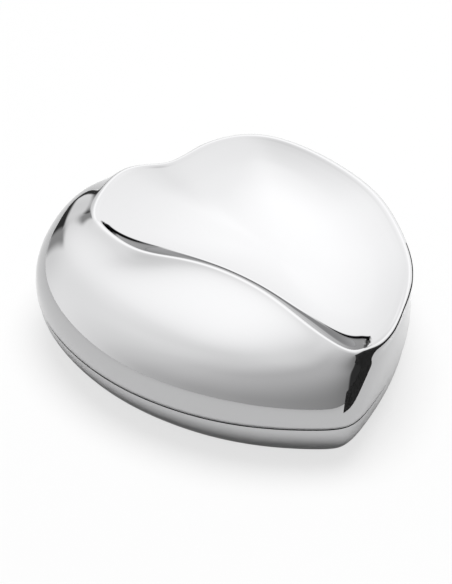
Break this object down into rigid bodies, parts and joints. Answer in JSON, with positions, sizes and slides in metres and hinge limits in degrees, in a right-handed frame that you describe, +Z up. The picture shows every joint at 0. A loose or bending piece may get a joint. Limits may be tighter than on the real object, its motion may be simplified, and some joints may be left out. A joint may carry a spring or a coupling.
{
  "type": "trinket box",
  "caption": "Heart-shaped polished steel trinket box with a lift-off lid that carries a dished top and an S-curved crest, velvet-lined inside.",
  "frame": {"origin": "on the table, under the middle of the closed box", "axes": "+Z up, -Y toward the tip of the heart, +Y toward the cleft, +X toward the right lobe seen from above with the cleft away"},
  "size_m": [0.1047, 0.1064, 0.0387],
  "materials": {
    "polished_steel": "mirror-polished steel",
    "satin_steel": "satin",
    "velvet": "short-pile grey velvet",
    "felt": "black felt"
  },
  "bodies": {
    "base": {"base_shell": "polished_steel", "base_collar": "satin_steel", "base_wall_lining": "velvet", "base_floor_cushion": "velvet", "base_felt_pad": "felt"},
    "lid": {"lid_shell": "polished_steel", "lid_wall_lining": "velvet", "lid_top_lining": "velvet"}
  },
  "joints": [
    {"name": "lid_lift", "type": "slide", "parent": "base", "child": "lid", "axis": [0, 0, 1], "range_m": [0, 0.06]}
  ]
}
